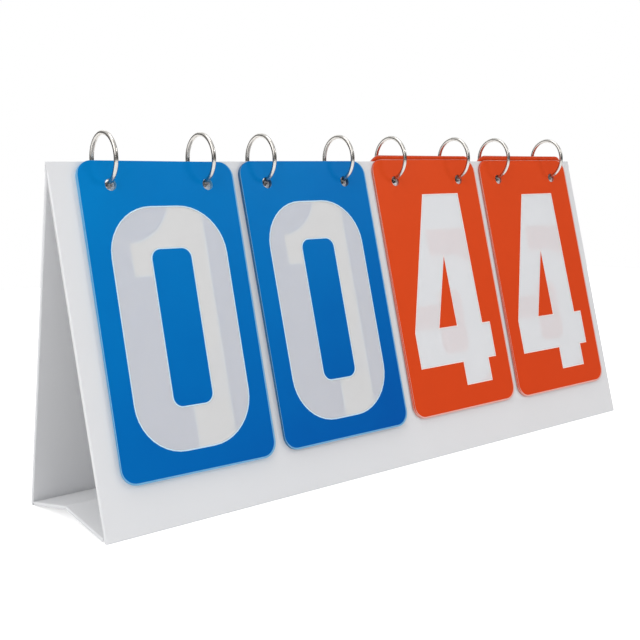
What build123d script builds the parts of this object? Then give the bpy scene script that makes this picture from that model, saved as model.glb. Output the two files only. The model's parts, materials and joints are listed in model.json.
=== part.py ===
# Tabletop flip scoreboard: a folding easel of covered board that carries four stacks of ten
# numbered leaves, each stack hung on two hinged rings that pass over the ridge.
#
# Frame: millimetres, +X along the ridge, -Y towards the side that shows the score, +Z up.
# The origin is on the table, under the middle of the ridge.
# "Depth" is a distance down a board's slope from the ridge line, and "offset" is a distance
# out from a board's outer face.
import os
from math import atan2, cos, degrees, hypot, radians, sin, sqrt, tan

from build123d import *

# ---- driving dimensions -------------------------------------------------------------------
# leaves
leaf_width = 88.0
leaf_height = 153.0
leaf_corner = 8.0  # corner radius
leaf_thickness = 0.20
leaf_gap = 0.02  # air between one leaf and the next
leaves_in_stack = 10  # the digits 0 to 9
leaf_hole_diameter = 6.0
leaf_hole_inset = 16.6  # from the leaf's side to the middle of its hole

# stacks along the stand
left_margin = 13.2
right_margin = 7.2
stack_gaps = (5.0, 7.7, 4.9)  # clear gaps between neighbouring stacks, left to right

# easel
open_angle = radians(26.8)  # between the two sloping boards
board_thickness = 2.0
leaf_drop = 0.8  # top edge of a leaf below the ridge, down the slope
turned_leaf_lift = 3.1  # a leaf on the rear board rides up this much, its hole's play on the ring
foot_margin = 24.2  # bottom edge of a leaf to the foot of its board, down the slope
board_hole_diameter = 6.0
mitre_gap = 0.05  # from each board's mitred top to the middle plane

# rings
wire_diameter = 2.2
ring_radius = 12.4  # to the middle of the wire
ring_height = 1.0  # middle of the ring above the ridge
leaf_play = 0.25  # wire to the edge of the hole that hangs on it
board_play = 1.1  # wire to the lower edge of a board's hole, so that a gate can swing open
knuckle_diameter = 2.6
tongue_width = 0.76
pin_diameter = 0.8
pin_clearance = 0.04
hinge_clearance = 0.08
closure_gap = 0.16
closure_angle = 45.0  # slant of the closure's seam, in degrees
slot_clearance = 0.30  # wire to the side and the end of a leaf's slot

# folding base
fold_web_diameter = 1.1
fold_web_height = 1.5  # middle of the web above the table
fold_web_gap = 0.2
flap_thickness = 2.0
flap_skin = 0.65  # top face of a flap above the line of its hinge
flap_reach = 0.74  # rigid part of a flap, as a share of the way to the crease
crease_height = 8.2
crease_web_thickness = 1.0
crease_web_gap = 0.1

# web over the ridge
ridge_web_leg = 5.0
ridge_web_thickness = 0.35
ridge_web_gap = 0.05

# ---- worked-out dimensions ----------------------------------------------------------------
slope = open_angle / 2  # of each board, from upright
board_length = leaf_drop + leaf_height + foot_margin
ridge_z = board_length * cos(slope)
foot_y = board_length * sin(slope)
stand_length = left_margin + 4 * leaf_width + sum(stack_gaps) + right_margin

wire_radius = wire_diameter / 2
ring_z = ridge_z + ring_height
leaf_pitch = leaf_thickness + leaf_gap
stack_thickness = leaves_in_stack * leaf_pitch

# A leaf that lies flat on the front board also lies flat on the rear one when it turns about
# this line, which is as far above the ridge as the stack is thick for its slope.
flip_height = (stack_thickness + leaf_gap) / (2 * sin(slope))


def wire_depth(offset):
    """Depth at which the middle of a ring's wire crosses a plane at this offset."""
    across = offset - ring_height * sin(slope)
    return sqrt(ring_radius**2 - across**2) - ring_height * cos(slope)


board_hole_radius = board_hole_diameter / 2
board_hole_depth = wire_depth(0) + wire_radius + board_play - board_hole_radius
leaf_hole_radius = leaf_hole_diameter / 2
leaf_hole_depth = wire_depth(stack_thickness / 2) - wire_radius - leaf_play + leaf_hole_radius

# While a leaf swings over the top, the wire runs up this slot above its hole.
slot_width = wire_diameter + 2 * slot_clearance
slot_end_depth = (
    ring_radius + ring_height - wire_radius - slot_clearance - flip_height * (1 + cos(slope))
)

stack_names = ("blue_tens", "blue_ones", "red_tens", "red_ones")
digits_shown = {"blue_tens": 0, "blue_ones": 0, "red_tens": 4, "red_ones": 4}
stack_centres = {
    name: -stand_length / 2 + left_margin + sum(stack_gaps[:place]) + (place + 0.5) * leaf_width
    for place, name in enumerate(stack_names)
}
hole_spread = leaf_width / 2 - leaf_hole_inset
ring_xs = {name: (x - hole_spread, x + hole_spread) for name, x in stack_centres.items()}
all_ring_xs = [x for pair in ring_xs.values() for x in pair]

# Both board planes have their local y up the slope and their z out of the board.
front_plane = Plane(
    origin=(0, 0, ridge_z), x_dir=(1, 0, 0), z_dir=(0, -cos(slope), sin(slope))
)
rear_plane = Plane(
    origin=(0, 0, ridge_z), x_dir=(-1, 0, 0), z_dir=(0, cos(slope), sin(slope))
)


def save(part, name):
    part.label = name
    export_step(part, f"parts/{name}.step")


def front_point(depth, offset):
    """A point of the front board's cross-section, as (y, z)."""
    return (
        -depth * sin(slope) - offset * cos(slope),
        ridge_z - depth * cos(slope) + offset * sin(slope),
    )


def mitre_depth(offset):
    """Depth at which the plane at this offset meets the board's mitred top."""
    return (mitre_gap - offset * cos(slope)) / sin(slope)


def foot_depth(offset):
    """Depth at which the plane at this offset meets the table."""
    return (ridge_z + offset * sin(slope)) / cos(slope)


def facing(points, side):
    """Cross-section points for the front (side 1) or mirrored to the rear (side -1)."""
    return [(side * y, z) for y, z in points]


# ---- easel boards -------------------------------------------------------------------------
rebate = -(ridge_web_thickness + ridge_web_gap)
board_section = [
    front_point(foot_depth(0), 0),
    front_point(ridge_web_leg + ridge_web_gap, 0),
    front_point(ridge_web_leg + ridge_web_gap, rebate),
    front_point(mitre_depth(rebate), rebate),
    front_point(mitre_depth(-board_thickness), -board_thickness),
    front_point(foot_depth(-board_thickness), -board_thickness),
]

os.makedirs("parts", exist_ok=True)


def make_board(name, side, plane):
    with BuildPart() as board:
        with BuildSketch(Plane.YZ):
            with BuildLine():
                Polyline(facing(board_section, side), close=True)
            make_face()
        extrude(amount=stand_length / 2, both=True)
        with BuildSketch(plane):
            with Locations([(side * x, -board_hole_depth) for x in all_ring_xs]):
                Circle(board_hole_radius)
        extrude(amount=-2 * board_thickness, mode=Mode.SUBTRACT)
    save(board.part, name)


make_board("front_panel", 1, front_plane)
make_board("rear_panel", -1, rear_plane)

# ---- ridge web: the bare cover that bends between the two boards ----------------------------
ridge_web_half = [
    front_point(0, 0),
    front_point(ridge_web_leg, 0),
    front_point(ridge_web_leg, -ridge_web_thickness),
]
ridge_web_valley = (0, ridge_z - ridge_web_thickness / sin(slope))

with BuildPart() as ridge_web:
    with BuildSketch(Plane.YZ):
        with BuildLine():
            Polyline(
                ridge_web_half + [ridge_web_valley] + facing(ridge_web_half[:0:-1], -1),
                close=True,
            )
        make_face()
    extrude(amount=stand_length / 2, both=True)
save(ridge_web.part, "ridge_web")

# ---- folding base ---------------------------------------------------------------------------
# Each flap turns about a web at the foot of its board, and the two meet in a raised crease.
fold_web_radius = fold_web_diameter / 2
web_from_board = fold_web_radius + fold_web_gap
inner_face_y = -(foot_y - board_thickness / cos(slope) - fold_web_height * tan(slope))
fold_y = inner_face_y + web_from_board / cos(slope)
flap_rise = atan2(crease_height - fold_web_height, -fold_y)
way_to_crease = hypot(crease_height - fold_web_height, fold_y)
flap_end = flap_reach * way_to_crease


def flap_point(along, above):
    """A point of the front flap's cross-section, from its hinge line, as (y, z)."""
    return (
        fold_y + along * cos(flap_rise) - above * sin(flap_rise),
        fold_web_height + along * sin(flap_rise) + above * cos(flap_rise),
    )


flap_section = [
    flap_point(web_from_board, flap_skin),
    flap_point(flap_end, flap_skin),
    flap_point(flap_end, flap_skin - flap_thickness),
    flap_point(web_from_board, flap_skin - flap_thickness),
]


def make_flap(name, side):
    with BuildPart() as flap:
        with BuildSketch(Plane.YZ):
            with BuildLine():
                Polyline(facing(flap_section, side), close=True)
            make_face()
        extrude(amount=stand_length / 2, both=True)
    save(flap.part, name)


def make_fold_web(name, side):
    with BuildPart() as web:
        with BuildSketch(Plane.YZ):
            with Locations((side * fold_y, fold_web_height)):
                Circle(fold_web_radius)
        extrude(amount=stand_length / 2, both=True)
    save(web.part, name)


make_flap("base_front_flap", 1)
make_flap("base_rear_flap", -1)
make_fold_web("front_fold_web", 1)
make_fold_web("rear_fold_web", -1)

web_start = flap_end + crease_web_gap
web_top = flap_skin - (flap_thickness - crease_web_thickness) / 2
web_bottom = web_top - crease_web_thickness
crease_web_top = [flap_point(web_start, web_top), (0, crease_height + web_top / cos(flap_rise))]
crease_web_under = [
    flap_point(web_start, web_bottom),
    (0, crease_height + web_bottom / cos(flap_rise)),
]

with BuildPart() as crease_web:
    with BuildSketch(Plane.YZ):
        with BuildLine():
            Polyline(
                crease_web_top
                + facing(crease_web_top[:1], -1)
                + facing(crease_web_under[:1], -1)
                + crease_web_under[::-1],
                close=True,
            )
        make_face()
    extrude(amount=stand_length / 2, both=True)
save(crease_web.part, "crease_web")

# ---- rings ------------------------------------------------------------------------------------
# A ring is two half hoops, hinged at the bottom and snapped together at the top.
knuckle_radius = knuckle_diameter / 2
hinge_z = ring_z - ring_radius
crown_z = ring_z + ring_radius
hoop_overrun = degrees(wire_diameter / ring_radius)
closure_block = 4 * wire_diameter


def make_ring_halves(name, centres):
    """The fixed rear half hoops of one stack, each with its fork and its riveted pin."""
    with BuildPart() as rings:
        for x in centres:
            hinge = Plane(origin=(x, 0, hinge_z), x_dir=(0, 1, 0), z_dir=(1, 0, 0))
            hub = Axis((x, 0, ring_z), (1, 0, 0))
            with BuildSketch(Plane(origin=(x, 0, hinge_z), x_dir=(1, 0, 0), z_dir=(0, 1, 0))):
                Circle(wire_radius)
            revolve(axis=hub, revolution_arc=180 + hoop_overrun, clean=False)
            slanted = Location((x, 0, crown_z), (0, 0, closure_angle))
            cut = Pos(0, -(closure_block - closure_gap) / 2, 0)
            with Locations(slanted * cut):
                Box(closure_block, closure_block, wire_diameter * 2, mode=Mode.SUBTRACT)
            with BuildSketch(hinge):
                Circle(knuckle_radius)
            extrude(amount=wire_radius, both=True)
            with BuildSketch(hinge):
                Circle(knuckle_radius + hinge_clearance)
            extrude(amount=tongue_width / 2 + hinge_clearance, both=True, mode=Mode.SUBTRACT)
            with BuildSketch(hinge):
                Circle(pin_diameter / 2)
            extrude(amount=wire_radius, both=True)
    save(rings.part, name)


def make_gate(name, x):
    """The front half hoop that opens, with the tongue that turns on the pin."""
    with BuildPart() as gate:
        hinge = Plane(origin=(x, 0, hinge_z), x_dir=(0, 1, 0), z_dir=(1, 0, 0))
        hub = Axis((x, 0, ring_z), (1, 0, 0))
        with BuildSketch(Plane(origin=(x, 0, hinge_z), x_dir=(1, 0, 0), z_dir=(0, 1, 0))):
            Circle(wire_radius)
        revolve(axis=hub, revolution_arc=-(180 + hoop_overrun), clean=False)
        slanted = Location((x, 0, crown_z), (0, 0, closure_angle))
        cut = Pos(0, (closure_block - closure_gap) / 2, 0)
        with Locations(slanted * cut):
            Box(closure_block, closure_block, wire_diameter * 2, mode=Mode.SUBTRACT)
        for way in (1, -1):
            with BuildSketch(hinge.offset(way * tongue_width / 2)):
                Circle(knuckle_radius + hinge_clearance)
            extrude(amount=way * wire_radius, mode=Mode.SUBTRACT)
        with BuildSketch(hinge):
            Circle(knuckle_radius)
        extrude(amount=tongue_width / 2, both=True)
        with BuildSketch(hinge):
            Circle(pin_diameter / 2 + pin_clearance)
        extrude(amount=wire_radius, both=True, mode=Mode.SUBTRACT)
    save(gate.part, name)


for stack in stack_names:
    make_ring_halves(f"{stack}_ring_halves", ring_xs[stack])
    for side_name, ring_x in zip(("left", "right"), ring_xs[stack]):
        make_gate(f"{stack}_{side_name}_gate", ring_x)


# ---- leaves -----------------------------------------------------------------------------------
def make_leaf(name, plane, x, offset, lift):
    hole_depth = leaf_hole_depth - lift
    hole_places = [(x - hole_spread, -hole_depth), (x + hole_spread, -hole_depth)]
    with BuildPart() as leaf:
        with BuildSketch(plane.offset(offset)):
            with Locations((x, lift - leaf_drop - leaf_height / 2)):
                RectangleRounded(leaf_width, leaf_height, leaf_corner)
            with Locations(hole_places):
                Circle(leaf_hole_radius, mode=Mode.SUBTRACT)
            with Locations(hole_places):
                Rectangle(
                    slot_width,
                    hole_depth - slot_end_depth,
                    align=(Align.CENTER, Align.MIN),
                    mode=Mode.SUBTRACT,
                )
        extrude(amount=leaf_thickness)
    save(leaf.part, name)


for stack in stack_names:
    for digit in range(leaves_in_stack):
        leaf_name = f"{stack}_leaf_{digit}"
        if digit >= digits_shown[stack]:
            # still in front, the lowest digit outermost
            front_offset = leaf_gap + (leaves_in_stack - 1 - digit) * leaf_pitch
            make_leaf(leaf_name, front_plane, stack_centres[stack], front_offset, 0)
        else:
            # already turned over to the rear, the highest digit outermost
            rear_offset = leaf_gap + digit * leaf_pitch
            make_leaf(leaf_name, rear_plane, -stack_centres[stack], rear_offset, turned_leaf_lift)

flap_turn = degrees(radians(90) - slope - flap_rise)
print(f"ridge_z {ridge_z:.4f} foot_y {foot_y:.4f} stand_length {stand_length:.3f}")
print(f"flip line z {ridge_z + flip_height:.5f}, leaf turn {360 - degrees(open_angle):.5f} deg")
print(f"ring middle z {ring_z:.4f}, ring hinge z {hinge_z:.4f}")
print(f"fold line z {ridge_z - board_thickness / sin(slope):.5f}")
print(f"flap hinge y {fold_y:.5f} z {fold_web_height:.3f}, flap turn {flap_turn:.4f} deg")
print(f"slot end depth {slot_end_depth:.3f}, leaf hole depth {leaf_hole_depth:.3f}")
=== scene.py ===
"""Looks of the tabletop flip scoreboard: covered boards, numbered leaves and hinged binder rings.

Everything is in metres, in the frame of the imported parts: +X along the ridge, -Y towards the side
that shows the score, +Z up. "Depth" is a distance down a board's slope from the ridge line, and
"offset" a distance out from a board's outer face.
"""

import json
from math import atan2, cos, pi, radians, sin, tan

import bmesh
import bpy
from mathutils import Matrix, Vector
from mathutils.geometry import delaunay_2d_cdt

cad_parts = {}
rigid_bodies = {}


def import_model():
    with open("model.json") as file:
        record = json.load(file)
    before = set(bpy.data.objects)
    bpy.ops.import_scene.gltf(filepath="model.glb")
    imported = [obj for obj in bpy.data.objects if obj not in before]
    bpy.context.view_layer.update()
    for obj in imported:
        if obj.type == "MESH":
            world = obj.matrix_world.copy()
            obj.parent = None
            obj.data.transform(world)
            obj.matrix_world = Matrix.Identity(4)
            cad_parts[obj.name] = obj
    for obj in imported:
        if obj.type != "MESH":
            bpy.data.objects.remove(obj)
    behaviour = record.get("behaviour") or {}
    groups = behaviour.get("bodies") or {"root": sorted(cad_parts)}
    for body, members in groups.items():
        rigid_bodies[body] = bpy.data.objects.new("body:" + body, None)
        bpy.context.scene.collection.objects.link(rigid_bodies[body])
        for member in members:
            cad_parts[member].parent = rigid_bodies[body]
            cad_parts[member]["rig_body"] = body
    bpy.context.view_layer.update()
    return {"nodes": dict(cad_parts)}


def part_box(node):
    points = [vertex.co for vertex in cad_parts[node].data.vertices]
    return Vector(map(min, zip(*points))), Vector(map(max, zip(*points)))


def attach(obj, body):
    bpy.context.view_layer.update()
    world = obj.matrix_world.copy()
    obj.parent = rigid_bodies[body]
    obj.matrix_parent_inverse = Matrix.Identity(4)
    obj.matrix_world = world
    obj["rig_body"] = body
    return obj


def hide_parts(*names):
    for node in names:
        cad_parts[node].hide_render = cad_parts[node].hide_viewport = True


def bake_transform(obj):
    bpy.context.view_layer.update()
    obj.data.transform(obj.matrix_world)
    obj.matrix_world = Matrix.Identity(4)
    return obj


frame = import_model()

MM = 0.001
part_bodies = {node.name: node["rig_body"] for node in frame["nodes"].values()}

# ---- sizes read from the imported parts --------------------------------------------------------
STACKS = ("blue_tens", "blue_ones", "red_tens", "red_ones")
DIGITS_IN_STACK = 10
RIDGE_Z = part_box("ridge_web")[1].z
FOOT_Y = -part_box("front_panel")[0].y
HALF_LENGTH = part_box("front_panel")[1].x
SLOPE = atan2(FOOT_Y, RIDGE_Z)
FRONT, REAR = 1, -1
BOARD_THICKNESS = 2.0 * MM


def board_plane(side):
    """Carries (x, depth, offset) on the front or rear board to a point of the frame."""
    down = Vector((0, -side * sin(SLOPE), -cos(SLOPE)))
    out = Vector((0, -side * cos(SLOPE), sin(SLOPE)))
    return plane(Vector((0, 0, RIDGE_Z)), down, out)


def plane(origin, down, out):
    """Carries (x, distance down, distance out) in a sloping plane to a point of the frame."""
    columns = (Vector((1, 0, 0)), down, out, origin)
    return Matrix([[column[row] for column in columns] for row in range(3)] + [[0, 0, 0, 1]])


def corners_in_plane(node, surface):
    """Lowest and highest x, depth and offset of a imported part, measured in a board's plane."""
    back = surface.inverted()
    points = [back @ vertex.co for vertex in frame["nodes"][node].data.vertices]
    low = Vector(min(p[axis] for p in points) for axis in range(3))
    high = Vector(max(p[axis] for p in points) for axis in range(3))
    return low, high


# ---- finishes ----------------------------------------------------------------------------------
class Term:
    """One value in a node tree. Arithmetic on it adds Math nodes."""

    def __init__(self, tree, socket):
        self.tree = tree
        self.socket = socket

    def __add__(self, other):
        return self.tree.maths("ADD", self, other)

    def __sub__(self, other):
        return self.tree.maths("SUBTRACT", self, other)

    def __rsub__(self, other):
        return self.tree.maths("SUBTRACT", other, self)

    def __mul__(self, other):
        return self.tree.maths("MULTIPLY", self, other)

    __radd__ = __add__
    __rmul__ = __mul__


class Nodes:
    """A node tree being drawn. One method adds any node: settings first, then its sockets."""

    def __init__(self, tree):
        self.tree = tree

    def add(self, kind, settings=(), sockets=(), output=0):
        node = self.tree.nodes.new(kind)
        for name, value in dict(settings).items():
            setattr(node, name, value)
        for name, value in dict(sockets).items():
            self.feed(node.inputs[name], value)
        return Term(self, node.outputs[output])

    def feed(self, socket, value):
        if isinstance(value, Term):
            self.tree.links.new(value.socket, socket)
        else:
            socket.default_value = value

    def maths(self, operation, first, second):
        return self.add("ShaderNodeMath", {"operation": operation}, {0: first, 1: second})


class Finish(Nodes):
    """A material whose constants sit on its shader and whose detail comes from nodes."""

    def __init__(self, name, **constants):
        self.material = bpy.data.materials.new(name)
        self.material.use_nodes = True
        super().__init__(self.material.node_tree)
        self.shader = self.tree.nodes["Principled BSDF"]
        for socket, value in constants.items():
            self.shader.inputs[socket.replace("_", " ")].default_value = value
        self.place = self.add("ShaderNodeTexCoord", output=3)

    def noise(self, feature, detail=2.0, stretch=(1, 1, 1)):
        """Soft mottling whose marks are about `feature` metres across, from 0 to 1."""
        place = self.add("ShaderNodeMapping", {}, {"Vector": self.place, "Scale": stretch})
        sockets = {"Vector": place, "Scale": 1 / feature, "Detail": detail}
        return self.add("ShaderNodeTexNoise", {}, sockets)

    def blend(self, factor, first, second):
        """One colour fading into another, by a value from 0 to 1."""
        settings = {"data_type": "RGBA"}
        return self.add("ShaderNodeMix", settings, {0: factor, 6: first, 7: second}, output=2)

    def relief(self, height, depth, under=None):
        """A bump of this depth in metres, laid over an earlier one."""
        sockets = {"Height": height, "Distance": depth, "Strength": 1.0}
        if under:
            sockets["Normal"] = under
        return self.add("ShaderNodeBump", {}, sockets)

    def wear(self, **sockets):
        for socket, value in sockets.items():
            self.feed(self.shader.inputs[socket.replace("_", " ")], value)
        return self.material


def colour(red, green, blue):
    return (red, green, blue, 1.0)


PLASTIC_IOR = 1.45
RIPPLE, RIPPLE_DEPTH = 28 * MM, 0.5 * MM  # soft waves of a thin sheet
TOOTH, TOOTH_DEPTH = 0.5 * MM, 0.006 * MM  # its fine surface
PAINTED_SHEEN = 0.7  # painted sheen: how far the ink's colour pales from the table to the ridge
PAINTED_SHEEN_SHIFT = 0.12  # share of the painted sheen taken back, so that the lowest ink keeps its deep colour
INK_CLOUD = 0.25
WINDOW_SHADE = 0.08  # what a milky window keeps of the light that casts shadows


def printed_sheet(name, ink, pale):
    """Opaque ink on a smooth plastic sheet, with a painted sheen that makes it paler high up and to
    the left.
    """
    finish = Finish(name, IOR=PLASTIC_IOR, Specular_IOR_Level=0.05)
    cloud = finish.noise(40 * MM, 3)
    across = finish.add("ShaderNodeSeparateXYZ", {}, {0: finish.place}, output="X")
    height = finish.add("ShaderNodeSeparateXYZ", {}, {0: finish.place}, output="Z")
    # Painted sheen: the ink fades to its paler colour with height and towards the left, standing in
    # for light on the sheet.
    painted_sheen = height * (PAINTED_SHEEN / RIDGE_Z) - across * (PAINTED_SHEEN / 2 / HALF_LENGTH)
    fine = finish.noise(TOOTH, 2)
    ripple = finish.relief(finish.noise(RIPPLE, 1), RIPPLE_DEPTH)
    return finish.wear(
        Base_Color=finish.blend(painted_sheen + cloud * INK_CLOUD - PAINTED_SHEEN_SHIFT, ink, pale),
        Roughness=0.30 + fine * 0.12,
        Normal=finish.relief(fine, TOOTH_DEPTH, ripple),
    )


def milky_window(name, milk, cover):
    """The unprinted numeral: a milky sheet that lets the next leaf show through."""
    finish = Finish(name, IOR=PLASTIC_IOR, Specular_IOR_Level=0.3)
    cloud = finish.noise(16 * MM, 3)
    fine = finish.noise(TOOTH, 2)
    shadow_ray = finish.add("ShaderNodeLightPath", output="Is Shadow Ray")
    body = cover + cloud * 0.03
    duller = colour(*(channel * 0.97 for channel in milk[:3]))
    ripple = finish.relief(finish.noise(RIPPLE, 1), RIPPLE_DEPTH)
    return finish.wear(
        Base_Color=finish.blend(cloud, milk, duller),
        Roughness=0.34 + fine * 0.12,
        Alpha=body - shadow_ray * (body - WINDOW_SHADE),
        Normal=finish.relief(fine, TOOTH_DEPTH, ripple),
    )


def sheet_edge(name, tint, pale):
    """The bare margin or cut edge of a printed sheet."""
    finish = Finish(name, IOR=PLASTIC_IOR, Roughness=0.35)
    return finish.wear(
        Base_Color=finish.blend(finish.noise(3 * MM, 2), tint, pale),
        Normal=finish.relief(finish.noise(0.4 * MM, 2), 0.01 * MM),
    )


def covered_board_finish(name, white, shade):
    """White embossed covering film over board."""
    finish = Finish(name, IOR=1.46, Specular_IOR_Level=0.35)
    cloud = finish.noise(60 * MM, 4)
    grain = finish.noise(0.7 * MM, 3)
    waves = finish.relief(finish.noise(55 * MM, 1), 0.5 * MM)
    return finish.wear(
        Base_Color=finish.blend(cloud * 0.7 + grain * 0.3, shade, white),
        Roughness=0.46 + grain * 0.16,
        Normal=finish.relief(grain, 0.025 * MM, waves),
    )


def nickel_plate(name, bright, dull):
    """Plated steel wire: drawn along its length, with a few duller patches."""
    finish = Finish(name, Metallic=1.0, IOR=2.0)
    patches = finish.noise(4 * MM, 3)
    drawn = finish.noise(0.35 * MM, 3, (4, 1, 1))
    return finish.wear(
        Base_Color=finish.blend(patches, dull, bright),
        Roughness=0.14 + patches * 0.10 + drawn * 0.08,
        Normal=finish.relief(drawn, 0.012 * MM),
    )


# Each ink's second colour is the paler tone of its painted sheen.
inks = {
    "blue": printed_sheet("blue_ink", colour(0.0, 0.086, 0.405), colour(0.0, 0.218, 0.595)),
    "red": printed_sheet("red_ink", colour(0.745, 0.066, 0.012), colour(0.810, 0.084, 0.015)),
}
margins = {
    "blue": sheet_edge("blue_leaf_margin", colour(0.12, 0.40, 0.68), colour(0.22, 0.50, 0.76)),
    "red": sheet_edge("red_leaf_margin", colour(0.84, 0.42, 0.35), colour(0.88, 0.52, 0.46)),
}
rims = {
    "blue": sheet_edge("blue_numeral_rim", colour(0.58, 0.82, 0.95), colour(0.66, 0.87, 0.97)),
    "red": sheet_edge("red_numeral_rim", colour(0.95, 0.80, 0.74), colour(0.96, 0.86, 0.82)),
}
# The red cut edge is darkened as painted shade: the shade on the edges of the fanned red leaves.
red_painted_shade_cut_edge = sheet_edge("red_painted_shade_cut_edge", colour(0.46, 0.08, 0.05), colour(0.60, 0.16, 0.11))
cut_edges = {
    "blue_tens": sheet_edge("blue_cut_edge", colour(0.10, 0.38, 0.66), colour(0.18, 0.48, 0.74)),
    # A darker copy of the blue cut edge: painted shade for the side of this stack, which lies in the
    # shade between the two blue stacks.
    "blue_ones": sheet_edge("painted_shade_cut_edge", colour(0.01, 0.07, 0.18), colour(0.02, 0.12, 0.28)),
    "red_tens": red_painted_shade_cut_edge,
    "red_ones": red_painted_shade_cut_edge,
}
windows = {
    "blue": milky_window("blue_leaf_window", colour(0.87, 0.87, 0.87), 0.52),
    "red": milky_window("red_leaf_window", colour(0.91, 0.92, 0.94), 0.66),
}
cover_film = covered_board_finish(
    "white_cover", colour(0.830, 0.835, 0.850), colour(0.795, 0.800, 0.815)
)
nickel = nickel_plate("nickel_wire", colour(0.64, 0.62, 0.585), colour(0.44, 0.42, 0.395))


# ---- outlines ------------------------------------------------------------------------------------
ARC_STEP = radians(9)  # a rounded corner turns by about this much from point to point


def rounded(corners):
    """A closed outline through (x, y) or (x, y, radius) corners, with an arc at each radius."""
    loop = []
    for index, (x, y, *radius) in enumerate(corners):
        here = Vector((x, y))
        back = Vector(corners[index - 1][:2]) - here
        on = Vector(corners[(index + 1) % len(corners)][:2]) - here
        if not radius:
            loop.append(here)
            continue
        half = back.angle(on) / 2
        reach = min(radius[0] / tan(half), back.length, on.length)
        round_off = reach * tan(half)
        middle = here + (back.normalized() + on.normalized()).normalized() * round_off / sin(half)
        first = here + back.normalized() * reach - middle
        last = here + on.normalized() * reach - middle
        turn = atan2(first.cross(last), first.dot(last))
        steps = max(2, round(abs(turn) / ARC_STEP))
        for step in range(steps + 1):
            loop.append(middle + Matrix.Rotation(turn * step / steps, 2) @ first)
    area = sum(a.cross(b) for a, b in zip(loop, loop[1:] + loop[:1]))
    return loop if area > 0 else loop[::-1]


def inset(loop, distance):
    """An outline moved inward by a distance, or outward by a negative one."""
    moved = []
    for index, here in enumerate(loop):
        arriving = here - loop[index - 1]
        leaving = loop[(index + 1) % len(loop)] - here
        if min(arriving.length, leaving.length) < 1e-9:
            moved.append(here.copy())
            continue
        way = (arriving.normalized() + leaving.normalized()).normalized()
        stretch = 1 / max(way.dot(leaving.normalized()), 0.5)
        moved.append(here + Vector((-way.y, way.x)) * distance * stretch)
    return moved


def box_outline(left, top, right, bottom, radius):
    corners = ((left, top), (right, top), (right, bottom), (left, bottom))
    return rounded([(*corner, radius) for corner in corners])


def circle(x, y, radius, sides=28):
    turns = [2 * pi * side / sides for side in range(sides)]
    return [Vector((x + radius * cos(turn), y + radius * sin(turn))) for turn in turns]


def holds(loop, point):
    """Whether a point lies inside an outline."""
    inside = False
    for a, b in zip(loop, loop[1:] + loop[:1]):
        if (a.y > point.y) != (b.y > point.y):
            if point.x < a.x + (point.y - a.y) * (b.x - a.x) / (b.y - a.y):
                inside = not inside
    return inside


# ---- flat pieces ------------------------------------------------------------------------------
OPEN = None


def flat_piece(name, regions, profile, place, finishes):
    """A closed flat piece cut from sheet or board. Its cut edges wear the last of its finishes.

    `regions` lists (outline, finish number or OPEN), each laid over the ones before it. `profile`
    lists (inset, offset) steps down the piece's edge, from its outer face to its inner one.
    `place` carries (x, depth, offset) to a point of the frame.
    """
    mesh = bmesh.new()
    walls = [(loop, 1) for loop, finish in regions[:1]]
    walls += [(loop, -1) for loop, finish in regions if finish is OPEN]
    for inward, offset in (profile[0], profile[-1]):
        loops = [inset(walls[0][0], inward)]
        loops += [inset(loop, -inward) if finish is OPEN else loop for loop, finish in regions[1:]]
        points = [point for loop in loops for point in loop]
        lines, start = [], 0
        for loop in loops:
            lines += [(start + i, start + (i + 1) % len(loop)) for i in range(len(loop))]
            start += len(loop)
        flat, _, faces, *_ = delaunay_2d_cdt(points, lines, [], 0, 1e-9)
        corners = [mesh.verts.new(place(point.x, point.y, offset)) for point in flat]
        for face in faces:
            middle = sum((flat[i] for i in face), Vector((0, 0))) / len(face)
            held = [finish for loop, (_, finish) in zip(loops, regions) if holds(loop, middle)]
            if held and held[-1] is not OPEN:
                mesh.faces.new([corners[i] for i in face]).material_index = held[-1]
    for loop, way in walls:
        rings = []
        for inward, offset in profile:
            moved = inset(loop, inward * way)
            rings.append([mesh.verts.new(place(point.x, point.y, offset)) for point in moved])
        for upper, lower in zip(rings, rings[1:]):
            for i in range(len(loop)):
                j = (i + 1) % len(loop)
                wall = mesh.faces.new((upper[i], upper[j], lower[j], lower[i]))
                wall.smooth = len(profile) > 2
                wall.material_index = len(finishes) - 1
    bmesh.ops.remove_doubles(mesh, verts=mesh.verts, dist=0.002 * MM)
    bmesh.ops.recalc_face_normals(mesh, faces=mesh.faces)
    return finished(name, mesh, finishes)


def finished(name, mesh, finishes):
    """Turns a bmesh into an object that wears these finishes."""
    data = bpy.data.meshes.new(name)
    mesh.to_mesh(data)
    mesh.free()
    for finish in finishes:
        data.materials.append(finish)
    piece = bpy.data.objects.new(name, data)
    bpy.context.scene.collection.objects.link(piece)
    return piece


def stand_in(piece, body, slot, *nodes):
    """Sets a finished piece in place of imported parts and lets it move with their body."""
    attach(piece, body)
    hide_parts(*nodes)


# ---- leaves --------------------------------------------------------------------------------------
LEAF_CORNER = 8.0 * MM
LEAF_MARGIN = 0.5 * MM  # bare edge round the ink
PRINT_SHIFT = Vector((-0.28, -0.40)) * MM  # the ink is printed a little left and high
# Loose leaves lie a little fanned: the widest turn in each stack, in degrees, foot to the right,
# and the tenths of it that the leaves 0 to 9 take.
FANNING = {"blue_tens": 0.25, "blue_ones": 0.25, "red_tens": -0.75, "red_ones": -0.8}
FANNING_ORDER = (0, 5, 2, 4, 3, 8, 6, 9, 5, 7)
FANNING_PIVOT = 25 * MM  # above the holes, so that a leaf slides on its rings too
NUMERAL_RIM = 0.6 * MM  # bare line round a numeral
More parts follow.
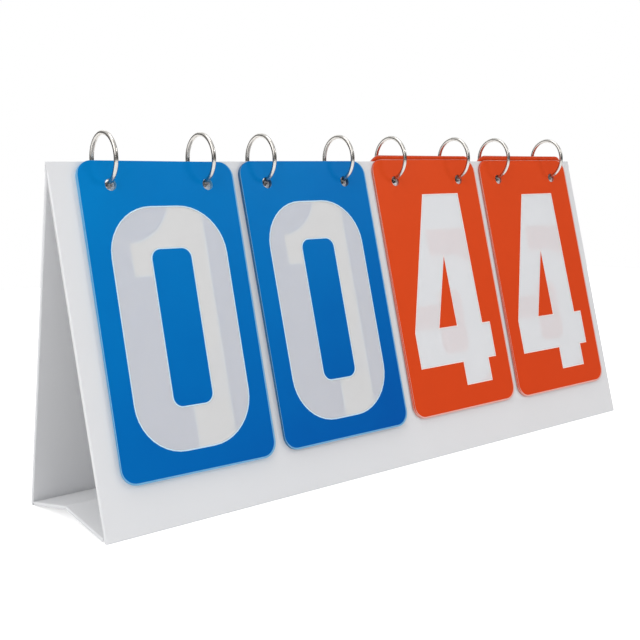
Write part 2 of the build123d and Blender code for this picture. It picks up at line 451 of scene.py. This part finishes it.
# How the front leaves of a stack hang, against their packed places: millimetres added at the head
# and at the foot, how far the print sits lower, and the stack's turn in degrees, foot to the right.
HANGING = {
    "blue_tens": (0.0, 1.3, 1.25, -0.7),
    "blue_ones": (0.0, 1.15, 1.0, 0.0),
    "red_tens": (1.1, 0.3, -0.95, 0.35),
    "red_ones": (0.6, 1.05, 1.0, 0.35),
}
HANGING_AT_REAR = (0.6, 0.0, 0.0, 0.0)
HANGING_PIVOT = 34 * MM  # below the holes
LEAF_HOLE_RADIUS = 3.0 * MM
LEAF_HOLE_INSET = 16.6 * MM
LEAF_HOLE_DEPTH = 11.85 * MM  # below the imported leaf's top edge
NUMERAL_LEFT, NUMERAL_TOP = 11.0, 21.4  # millimetres from the leaf's corner to the numeral's box
INK, WINDOW, RIM, EDGE = 0, 1, 2, 3

# Corners of each numeral in millimetres from the top left of a 66 by 120 box: the outer outline,
# then its counters. A third number rounds that corner.
RING = [(0.3, 0, 25), (65.7, 0, 25), (65.7, 120.4, 25), (0.3, 120.4, 25)]
SIX = [(0, 0, 25), (66, 0, 25), (66, 38, 1), (44, 38, 1), (44, 22, 5), (22, 22, 5), (22, 46, 1)]
SIX += [(66, 46, 22), (66, 120, 25), (0, 120, 25)]


def counter(top, bottom):
    """The opening of a round numeral, between its two stems."""
    return [(21.9, top, 5), (44.1, top, 5), (44.1, bottom, 5), (21.9, bottom, 5)]


def half_turned(corners):
    return [(66 - x, 120 - y, *radius) for x, y, *radius in corners]


NUMERALS = [
    [RING, counter(21.5, 98.9)],
    [[(34.7, 0), (54, 0), (54, 120), (32, 120), (32, 34.5), (11, 34.5), (11, 18), (29.1, 17.3, 26)]],
    [
        [(0, 42, 1.5), (0, 0, 25), (66, 0, 25), (66, 58, 18), (22, 98), (66, 98), (66, 120), (0, 120)]
        + [(0, 92, 8), (44, 52, 6), (44, 22, 5), (22, 22, 5), (22, 42, 1.5)]
    ],
    [
        [(0, 42, 1), (0, 0, 25), (66, 0, 25), (66, 50, 8), (58, 60, 2), (66, 70, 8), (66, 120, 25)]
        + [(0, 120, 25), (0, 78, 1), (22, 78, 1), (22, 98, 5), (44, 98, 5), (44, 71, 5)]
        + [(24, 71, 1), (24, 49, 1), (44, 49, 5), (44, 22, 5), (22, 22, 5), (22, 42, 1)]
    ],
    [
        [(26.1, 0), (57.4, 0), (58.4, 82.5), (65.4, 82.5), (65.4, 104.5), (58.4, 104.5)]
        + [(58.4, 118.8), (35.6, 118.8), (35.6, 104.5), (-0.4, 104.5), (-0.4, 83)],
        [(35, 39), (35.6, 82), (20.3, 82)],
    ],
    [
        [(2, 0, 1), (62, 0, 1), (62, 22, 1), (24, 22, 1), (24, 38, 3), (66, 38, 25), (66, 120, 25)]
        + [(0, 120, 25), (0, 82, 1), (22, 82, 1), (22, 98, 5), (44, 98, 5), (44, 60, 5)]
        + [(24, 60, 5), (24, 68, 1), (2, 68, 1)]
    ],
    [SIX, counter(68, 98)],
    [[(0, 0), (66, 0), (66, 24), (35, 120), (11, 120), (42, 22), (20, 22), (20, 36), (0, 36)]],
    [
        [(0, 0, 25), (66, 0, 25), (66, 52, 10), (60, 60, 3), (66, 68, 10), (66, 120, 25)]
        + [(0, 120, 25), (0, 68, 10), (6, 60, 3), (0, 52, 10)],
        counter(22, 49),
        counter(71, 98),
    ],
    [half_turned(SIX), half_turned(counter(68, 98))],
]


def numeral_outlines(digit, left, top):
    """The numeral's outlines on a leaf whose top left corner is given, in metres."""
    return [
        [
            Vector((left + (NUMERAL_LEFT + point.x) * MM, top + (NUMERAL_TOP + point.y) * MM))
            for point in rounded(corners)
        ]
        for corners in NUMERALS[digit]
    ]


def make_leaf(stack, digit):
    node = f"{stack}_leaf_{digit}"
    ink = stack.split("_")[0]
    side = FRONT if sum(corner.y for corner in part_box(node)) < 0 else REAR
    surface = board_plane(side)
    low, high = corners_in_plane(node, surface)
    middle = (low.x + high.x) / 2
    holes_depth = low.y + LEAF_HOLE_DEPTH
    head, foot, drop, lean = HANGING[stack] if side == FRONT else HANGING_AT_REAR
    fan = radians(FANNING[stack]) * FANNING_ORDER[digit] / DIGITS_IN_STACK
    lean = radians(lean)

    def place(x, depth, offset):
        """Turns the leaf a little in its own plane."""
        below = depth - holes_depth
        across = (below + FANNING_PIVOT) * fan + (below - HANGING_PIVOT) * lean
        return surface @ Vector((x + across, depth - (x - middle) * (fan + lean), offset))

    edge = box_outline(low.x, low.y - head * MM, high.x, high.y + foot * MM, LEAF_CORNER)
    printed = [point + PRINT_SHIFT for point in inset(edge, LEAF_MARGIN)]
    regions = [(edge, EDGE), (printed, INK)]
    outer, *counters = numeral_outlines(digit, low.x, low.y + drop * MM)
    regions += [(outer, RIM), (inset(outer, NUMERAL_RIM), WINDOW)]
    for loop in counters:
        regions += [(inset(loop, -NUMERAL_RIM), RIM), (loop, INK)]
    for x in (low.x + LEAF_HOLE_INSET, high.x - LEAF_HOLE_INSET):
        # Fanning carries a hole back onto its ring.
        across, down = x - FANNING_PIVOT * fan, holes_depth + (x - middle) * fan
        regions.append((circle(across, down, LEAF_HOLE_RADIUS), OPEN))
    leaf = flat_piece(
        f"{stack}_numbered_leaf_{digit}",
        regions,
        [(0, high.z), (0, low.z)],
        place,
        (inks[ink], windows[ink], rims[ink], margins[ink], cut_edges[stack]),
    )
    stand_in(leaf, part_bodies[node], f"{ink}_film", node)


for stack in STACKS:
    for digit in range(DIGITS_IN_STACK):
        make_leaf(stack, digit)

# ---- covered boards --------------------------------------------------------------------------
BOARD_CORNER = 1.1 * MM
BOARD_EDGE = 0.7 * MM  # rounding where the film turns round the board
BOARD_HOLE_RADIUS = 3.0 * MM
BOARD_TOP = 2.4 * MM  # depth at which a board starts, under the ridge cover
BOARD_HOLE_ZONE = (5.2 * MM, 30 * MM)  # depths between which a board's ring holes lie
FACE_DEPTH = 0.1 * MM  # points nearer than this to a board's outer face count as on it
MITRE_GAP = 0.1 * MM
EDGE_STEPS = 4


def rounded_edge(high, low, radius):
    """(inset, offset) steps down a board's edge, rounded at both faces."""
    quarter = [pi / 2 * step / EDGE_STEPS for step in range(EDGE_STEPS + 1)]
    upper = [(radius * (1 - sin(turn)), high - radius * (1 - cos(turn))) for turn in quarter]
    lower = [(inward, low + (high - offset)) for inward, offset in reversed(upper)]
    return upper + lower


def ring_places():
    """Middle x of every ring, from its gate."""
    places = []
    for stack in STACKS:
        for hand in ("left", "right"):
            low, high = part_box(f"{stack}_{hand}_gate")
            places.append((low.x + high.x) / 2)
    return places


def board_hole_depth():
    """Depth of the holes in the boards: the panel's own hole edge below its ring."""
    surface = board_plane(FRONT).inverted()
    x = ring_places()[0]
    points = [surface @ vertex.co for vertex in frame["nodes"]["front_panel"].data.vertices]
    near = [p.y for p in points if abs(p.x - x) < 2 * BOARD_HOLE_RADIUS and abs(p.z) < FACE_DEPTH]
    first, last = BOARD_HOLE_ZONE
    rim = [depth for depth in near if first < depth < last]
    return (min(rim) + max(rim)) / 2


def make_board(name, side, node, body):
    surface = board_plane(side)
    foot = RIDGE_Z / cos(SLOPE)

    def place(x, depth, offset):
        """Mitres the board's top and trims its foot to the table."""
        mitre = (MITRE_GAP - offset * cos(SLOPE)) / sin(SLOPE)
        point = surface @ Vector((x, max(depth, mitre), offset))
        point.z = max(point.z, 0)
        return point

    outline = rounded(
        [
            (-HALF_LENGTH, BOARD_TOP),
            (HALF_LENGTH, BOARD_TOP),
            (HALF_LENGTH, foot, BOARD_CORNER),
            (-HALF_LENGTH, foot, BOARD_CORNER),
        ]
    )
    depth = board_hole_depth()
    regions = [(outline, 0)]
    regions += [(circle(x, depth, BOARD_HOLE_RADIUS), OPEN) for x in ring_places()]
    edge = rounded_edge(0, -BOARD_THICKNESS, BOARD_EDGE)
    board = flat_piece(name, regions, edge, place, (cover_film,))
    stand_in(board, body, "white_board", node)


make_board("front_covered_board", FRONT, "front_panel", "front_stand")
make_board("rear_covered_board", REAR, "rear_panel", "rear_stand")

# ---- cover over the ridge ----------------------------------------------------------------------
RIDGE_COVER_LEG = 5.0 * MM
RIDGE_COVER_THICKNESS = 0.36 * MM
RIDGE_ROUND = 0.12 * MM  # radius of its fold
RIDGE_PROUD = 0.008 * MM  # keeps its face clear of the boards'
RIDGE_STEPS = 6


def prism(name, section, half_length, finishes):
    """A solid of one cross-section, given as (y, z) points, running along the ridge."""
    mesh = bmesh.new()
    ends = [[mesh.verts.new((x, y, z)) for y, z in section] for x in (-half_length, half_length)]
    for end in ends:
        mesh.faces.new(end)
    for i in range(len(section)):
        j = (i + 1) % len(section)
        mesh.faces.new((ends[0][i], ends[0][j], ends[1][j], ends[1][i]))
    bmesh.ops.recalc_face_normals(mesh, faces=mesh.faces)
    return finished(name, mesh, finishes)


def make_ridge_cover():
    front, rear = board_plane(FRONT), board_plane(REAR)

    def at(surface, depth, offset):
        point = surface @ Vector((0, depth, offset))
        return point.y, point.z

    middle = RIDGE_Z - RIDGE_ROUND / sin(SLOPE)
    sweep = pi / 2 - SLOPE
    turns = [pi / 2 - sweep + 2 * sweep * step / RIDGE_STEPS for step in range(RIDGE_STEPS + 1)]
    crown = [(RIDGE_ROUND * cos(turn), middle + RIDGE_ROUND * sin(turn)) for turn in turns]
    valley = (0, RIDGE_Z - RIDGE_COVER_THICKNESS / sin(SLOPE))
    section = [at(rear, RIDGE_COVER_LEG, RIDGE_PROUD)] + crown
    section += [at(front, RIDGE_COVER_LEG, RIDGE_PROUD)]
    section += [at(front, RIDGE_COVER_LEG, -RIDGE_COVER_THICKNESS), valley]
    section += [at(rear, RIDGE_COVER_LEG, -RIDGE_COVER_THICKNESS)]
    cover = prism("ridge_cover", section, HALF_LENGTH, (cover_film,))
    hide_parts("ridge_web")
    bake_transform(cover)


make_ridge_cover()

# ---- folding base --------------------------------------------------------------------------------
FLAP_EDGE = 0.6 * MM
CREASE_GAP = 0.25 * MM


def make_flap(name, side, node, body, *also):
    """A base flap drawn out to the crease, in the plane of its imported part."""
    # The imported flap's section as (y, z) vectors: its lower and upper corner at either end.
    section = {(round(v.co.y, 7), round(v.co.z, 7)) for v in frame["nodes"][node].data.vertices}
    section = sorted((Vector(point) for point in section), key=lambda point: abs(point.x))
    crease_end = sorted(section[:2], key=lambda point: point.y)
    hinge_end = sorted(section[-2:], key=lambda point: point.y)
    along = (crease_end[1] - hinge_end[1]).normalized()
    out = Vector((-along.y, along.x)) if along.x > 0 else Vector((along.y, -along.x))
    start = hinge_end[1]
    thickness = (hinge_end[1] - hinge_end[0]).length
    reach = (-start.x) / along.x - CREASE_GAP
    surface = plane(Vector((0, *start)), Vector((0, *along)), Vector((0, *out)))
    outline = box_outline(-HALF_LENGTH, 0, HALF_LENGTH, reach, FLAP_EDGE)

    def place(x, depth, offset):
        """Trims the flap at the crease, where the two flaps meet."""
        point = surface @ Vector((x, depth, offset))
        if side * point.y > -CREASE_GAP / 2:
            point.y = -side * CREASE_GAP / 2
        return point

    edge = rounded_edge(0, -thickness, FLAP_EDGE)
    flap = flat_piece(name, [(outline, 0)], edge, place, (cover_film,))
    stand_in(flap, body, "white_board", node, *also)


make_flap("front_base_flap", FRONT, "base_front_flap", "front_flap")
make_flap("rear_base_flap", REAR, "base_rear_flap", "rear_flap", "crease_web")
for web in ("front_fold_web", "rear_fold_web"):
    frame["nodes"][web].data.materials.clear()
    frame["nodes"][web].data.materials.append(cover_film)

# ---- rings ----------------------------------------------------------------------------------------
ARC_STEPS = 48
WIRE_SIDES = 20
HINGE_BARREL_RADIUS = 1.3 * MM
TONGUE_WIDTH = 0.76 * MM
TONGUE_CLEARANCE = 0.08 * MM
RIVET_RADIUS = 0.55 * MM
RIVET_PROUD = 0.12 * MM
BARREL_SOFTNESS = 0.15 * MM
CLOSURE_GAP = 0.05 * MM
CLOSURE_SLANT = 1.0  # how far the seam runs along the wire for its width
CLOSURE_REACH = 0.1  # share of a half hoop over which the slant fades


def ring_sizes():
    """Wire radius, ring radius and middle height, from a packed gate."""
    low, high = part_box("blue_tens_left_gate")
    wire = (high.x - low.x) / 2
    radius = -low.y - wire
    return wire, radius, high.z - wire - radius


WIRE_RADIUS, RING_RADIUS, RING_Z = ring_sizes()


def hoop_tree():
    """Half hoops of wire at points along the ridge, sheared to a slanted seam at the crown."""
    group = bpy.data.node_groups.new("half_hoops", "GeometryNodeTree")
    for name, kind in (
        ("Ring radius", "NodeSocketFloat"),
        ("Wire radius", "NodeSocketFloat"),
        ("Side", "NodeSocketFloat"),
        ("Middle", "NodeSocketVector"),
        ("Spacing", "NodeSocketVector"),
        ("Count", "NodeSocketInt"),
        ("Finish", "NodeSocketMaterial"),
    ):
        group.interface.new_socket(name, in_out="INPUT", socket_type=kind)
    group.interface.new_socket("Hoops", in_out="OUTPUT", socket_type="NodeSocketGeometry")
    tree = Nodes(group)
    given = group.nodes.new("NodeGroupInput")
    size = {socket.name: Term(tree, socket) for socket in given.outputs}

    half = CLOSURE_GAP / 2 / RING_RADIUS
    arc = tree.add(
        "GeometryNodeCurveArc",
        {"mode": "RADIUS"},
        {
            "Resolution": ARC_STEPS,
            "Radius": size["Ring radius"],
            "Start Angle": half,
            "Sweep Angle": pi - half,
        },
    )
    along = tree.add("GeometryNodeSplineParameter")
    kept = group.nodes.new("GeometryNodeCaptureAttribute")
    kept.capture_items.new("FLOAT", "Along")
    tree.feed(kept.inputs[0], arc)
    tree.feed(kept.inputs[1], along)
    wire = tree.add(
        "GeometryNodeCurvePrimitiveCircle",
        {"mode": "RADIUS"},
        {"Resolution": WIRE_SIDES, "Radius": size["Wire radius"]},
    )
    swept = tree.add(
        "GeometryNodeCurveToMesh",
        {},
        {"Curve": Term(tree, kept.outputs[0]), "Profile Curve": wire, "Fill Caps": True},
    )
    # The arc lies in the XY plane from +X round to -X. Its end at +X becomes the crown.
    position = tree.add("GeometryNodeInputPosition")
    across = tree.add("ShaderNodeSeparateXYZ", {}, {0: position}, output=2)
    near_crown = 1 - Term(tree, kept.outputs[1]) * (1 / CLOSURE_REACH)
    near_crown = tree.maths("MAXIMUM", near_crown, 0.0)
    slide = across * near_crown * CLOSURE_SLANT
    shear = tree.add("ShaderNodeCombineXYZ", {}, {"Y": slide})
    sheared = tree.add("GeometryNodeSetPosition", {}, {"Geometry": swept, "Offset": shear})
    upright = tree.add(
        "ShaderNodeCombineXYZ", {}, {"X": 0.0, "Y": -pi / 2, "Z": size["Side"] * (pi / 2) + pi / 2}
    )
    points = tree.add(
        "GeometryNodeMeshLine",
        {"mode": "OFFSET"},
        {"Count": size["Count"], "Start Location": size["Middle"], "Offset": size["Spacing"]},
    )
    placed = tree.add(
        "GeometryNodeInstanceOnPoints",
        {},
        {"Points": points, "Instance": sheared, "Rotation": upright},
    )
    solid = tree.add("GeometryNodeRealizeInstances", {}, {0: placed})
    smooth = tree.add("GeometryNodeSetShadeSmooth", {}, {0: solid})
    dressed = tree.add(
        "GeometryNodeSetMaterial", {}, {"Geometry": smooth, "Material": size["Finish"]}
    )
    result = group.nodes.new("NodeGroupOutput")
    tree.feed(result.inputs[0], dressed)
    return group


hoops = hoop_tree()


def grow_hoops(name, side, places):
    """The half hoops of one body as a plain mesh: side 1 in front of the ridge, -1 behind it."""
    base = bpy.data.objects.new(name, bpy.data.meshes.new(name))
    bpy.context.scene.collection.objects.link(base)
    modifier = base.modifiers.new("hoops", "NODES")
    modifier.node_group = hoops
    step = places[1] - places[0] if len(places) > 1 else 0.0
    values = {
        "Ring radius": RING_RADIUS,
        "Wire radius": WIRE_RADIUS,
        "Side": float(side),
        "Middle": (places[0], 0.0, RING_Z),
        "Spacing": (step, 0.0, 0.0),
        "Count": len(places),
        "Finish": nickel,
    }
    for item in hoops.interface.items_tree:
        if item.in_out == "INPUT":
            modifier[item.identifier] = values[item.name]
    evaluated = base.evaluated_get(bpy.context.evaluated_depsgraph_get())
    grown = bpy.data.meshes.new_from_object(evaluated)
    bpy.data.objects.remove(base)
    return grown


def add_barrel(mesh, x, width, radius, z):
    """A short hinge barrel across the ridge direction, with softened ends."""
    soft = min(BARREL_SOFTNESS, width / 4)
    profile = [(-width / 2, radius - soft), (-width / 2 + soft, radius)]
    profile += [(width / 2 - soft, radius), (width / 2, radius - soft)]
    rings = []
    for shift, reach in profile:
        turns = [2 * pi * i / WIRE_SIDES for i in range(WIRE_SIDES)]
        rings.append(
            [mesh.verts.new((x + shift, reach * cos(turn), z + reach * sin(turn))) for turn in turns]
        )
    for first, second in zip(rings, rings[1:]):
        for i in range(WIRE_SIDES):
            j = (i + 1) % WIRE_SIDES
            mesh.faces.new((first[i], first[j], second[j], second[i])).smooth = True
    for end in (rings[0], rings[-1]):
        mesh.faces.new(end)


def make_hoops(name, side, places, body, node):
    """Half hoops with their hinge: a tongue in front, or behind it two cheeks and the rivet's ends."""
    mesh = bmesh.new()
    mesh.from_mesh(grow_hoops(name, side, places))
    hinge_z = RING_Z - RING_RADIUS
    for x in places:
        if side == FRONT:
            add_barrel(mesh, x, TONGUE_WIDTH, HINGE_BARREL_RADIUS, hinge_z)
            continue
        cheek = WIRE_RADIUS - TONGUE_WIDTH / 2 - TONGUE_CLEARANCE
        for way in (-1, 1):
            add_barrel(mesh, x + way * (WIRE_RADIUS - cheek / 2), cheek, HINGE_BARREL_RADIUS, hinge_z)
            add_barrel(mesh, x + way * WIRE_RADIUS, 2 * RIVET_PROUD, RIVET_RADIUS, hinge_z)
    bmesh.ops.recalc_face_normals(mesh, faces=mesh.faces)
    piece = finished(name, mesh, (nickel,))
    stand_in(piece, body, "nickel", node)


for stack in STACKS:
    gates = {}
    for hand in ("left", "right"):
        node = f"{stack}_{hand}_gate"
        low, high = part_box(node)
        gates[node] = (low.x + high.x) / 2
        make_hoops(f"{stack}_{hand}_opening_hoop", FRONT, [gates[node]], part_bodies[node], node)
    node = f"{stack}_ring_halves"
    make_hoops(f"{stack}_rear_hoops", REAR, sorted(gates.values()), part_bodies[node], node)

# ---- floor, light and camera ----------------------------------------------------------------------
FLOOR_WHITE = 0.90
FLOOR_LIFT = 0.58  # what the camera sees of the floor beyond its own shading
FLOOR_REACH = 1.2
SKY = 0.48
STUDIO_DARK = 0.04  # what metal mirrors at eye level and below
STUDIO_BRIGHT_FROM = 0.9  # height of a mirrored direction, from 0 to 1, that sees full white
LAMP_AIM = (0, 0, 0.08)


def seen_directly(tree):
    """Whether a ray comes from the camera, by way of a mirror, and by way of glass."""
    kinds = ("Is Camera Ray", "Is Glossy Ray", "Is Transmission Ray")
    return [tree.add("ShaderNodeLightPath", output=kind) for kind in kinds]


def make_floor():
    data = bpy.data.meshes.new("floor")
    ends = ((-1, -1), (1, -1), (1, 1), (-1, 1))
    data.from_pydata([(x * FLOOR_REACH, y * FLOOR_REACH, 0) for x, y in ends], [], [(0, 1, 2, 3)])
    floor = bpy.data.objects.new("floor", data)
    bpy.context.scene.collection.objects.link(floor)
    finish = Finish("floor_paper", Roughness=0.9, Specular_IOR_Level=0.0, Emission_Strength=1.0)
    camera, glossy, through = seen_directly(finish)
    lift = colour(FLOOR_LIFT, FLOOR_LIFT, FLOOR_LIFT)
    finish.wear(
        Base_Color=colour(FLOOR_WHITE, FLOOR_WHITE, FLOOR_WHITE),
        Emission_Color=finish.blend(camera + glossy + through, colour(0, 0, 0), lift),
    )
    data.materials.append(finish.material)


def make_world():
    """White behind the object, even light on it, and a darker lower room for metal to mirror."""
    world = bpy.data.worlds.new("studio")
    world.use_nodes = True
    bpy.context.scene.world = world
    sky = Nodes(world.node_tree)
    background = world.node_tree.nodes["Background"]
    background.inputs["Color"].default_value = colour(1, 1, 1)
    camera, glossy, through = seen_directly(sky)
    way = sky.add("ShaderNodeTexCoord", output="Generated")
    height = sky.add("ShaderNodeSeparateXYZ", {}, {0: way}, output="Z")
    room = sky.add(
        "ShaderNodeMapRange",
        {"interpolation_type": "SMOOTHSTEP"},
        {
            "Value": height,
            "From Min": 0.0,
            "From Max": STUDIO_BRIGHT_FROM,
            "To Min": STUDIO_DARK,
            "To Max": 1.0,
        },
    )
    sky.feed(
        background.inputs["Strength"],
        SKY + (camera + through) * (1 - SKY) + glossy * (room - SKY),
    )


def softbox(name, place, width, height, power):
    """An area lamp that faces the object."""
    light = bpy.data.lights.new(name, "AREA")
    light.shape = "RECTANGLE"
    light.size, light.size_y = width, height
    light.energy = power
    lamp = bpy.data.objects.new(name, light)
    bpy.context.scene.collection.objects.link(lamp)
    lamp.location = place
    lamp.rotation_mode = "QUATERNION"
    lamp.rotation_quaternion = (Vector(LAMP_AIM) - Vector(place)).to_track_quat("-Z", "Y")


CAMERA_PLACE = (-0.39507, -0.44142, 0.15684)
CAMERA_YAW, CAMERA_PITCH, CAMERA_ROLL = 0.68603, -0.12878, -0.02361  # radians
CAMERA_LENS, CAMERA_SENSOR = 56.493, 36.0  # millimetres


def make_camera():
    data = bpy.data.cameras.new("camera")
    data.lens = CAMERA_LENS
    data.sensor_width = CAMERA_SENSOR
    data.clip_start, data.clip_end = 0.01, 50
    camera = bpy.data.objects.new("camera", data)
    bpy.context.scene.collection.objects.link(camera)
    forward = Vector(
        (
            sin(CAMERA_YAW) * cos(CAMERA_PITCH),
            cos(CAMERA_YAW) * cos(CAMERA_PITCH),
            sin(CAMERA_PITCH),
        )
    )
    level = Vector((cos(CAMERA_YAW), -sin(CAMERA_YAW), 0))
    upward = level.cross(forward)
    right = cos(CAMERA_ROLL) * level + sin(CAMERA_ROLL) * upward
    up = cos(CAMERA_ROLL) * upward - sin(CAMERA_ROLL) * level
    turned = Matrix((right, up, -forward)).transposed()
    camera.matrix_world = Matrix.Translation(CAMERA_PLACE) @ turned.to_4x4()
    bpy.context.scene.camera = camera


bpy.context.scene.view_settings.view_transform = "Standard"
make_floor()
make_world()
make_camera()
softbox("key", (1.2, -1.2, 1.1), 0.35, 0.35, 4.3)
softbox("left_fill", (-1.05, -0.36, 0.86), 1.1, 1.1, 6.9)
softbox("top_fill", (0.0, 0.1, 2.0), 1.4, 1.0, 11.5)
softbox("back_fill", (0.5, 1.8, 0.9), 1.6, 1.6, 8)
